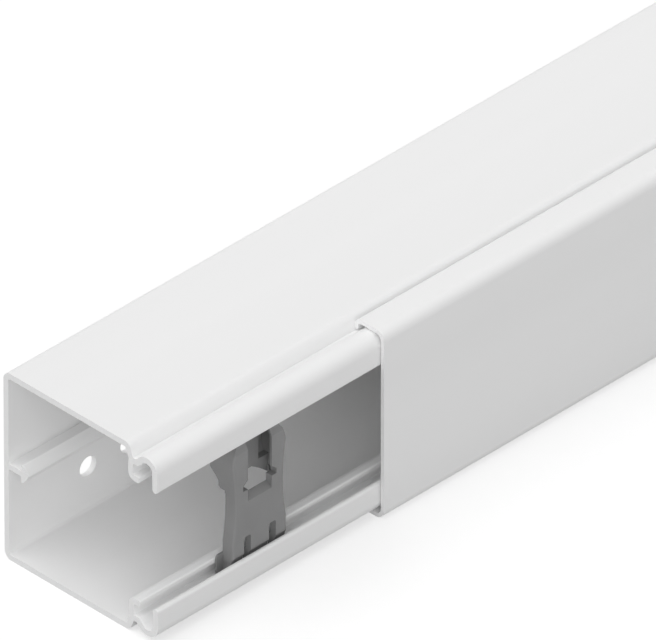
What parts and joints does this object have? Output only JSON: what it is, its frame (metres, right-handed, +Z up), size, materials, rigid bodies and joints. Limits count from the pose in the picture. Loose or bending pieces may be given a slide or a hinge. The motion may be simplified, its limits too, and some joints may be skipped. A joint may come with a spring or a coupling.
{
  "type": "cord cover raceway",
  "caption": "Square wall trunking for cables: an extruded channel with a cover that snaps into grooves along its front lips, and a moulded clip that bridges the opening.",
  "frame": {"origin": "centre of the channel's wall face", "axes": "+X along the length, away from the end that shows the clip; +Y into the wall, so the cover faces -Y; +Z up"},
  "size_m": [2.0819, 0.0587, 0.06],
  "materials": {
    "white_pvc": "satin white PVC",
    "grey_plastic": "matte mid grey"
  },
  "bodies": {
    "channel": {"base_channel": "white_pvc", "cable_clip": "grey_plastic"},
    "cover": {"snap_cover": "white_pvc"}
  },
  "joints": [
    {"name": "cover_slide", "type": "slide", "parent": "channel", "child": "cover", "axis": [1, 0, 0], "range_m": [-0.08185, 1.8]}
  ]
}
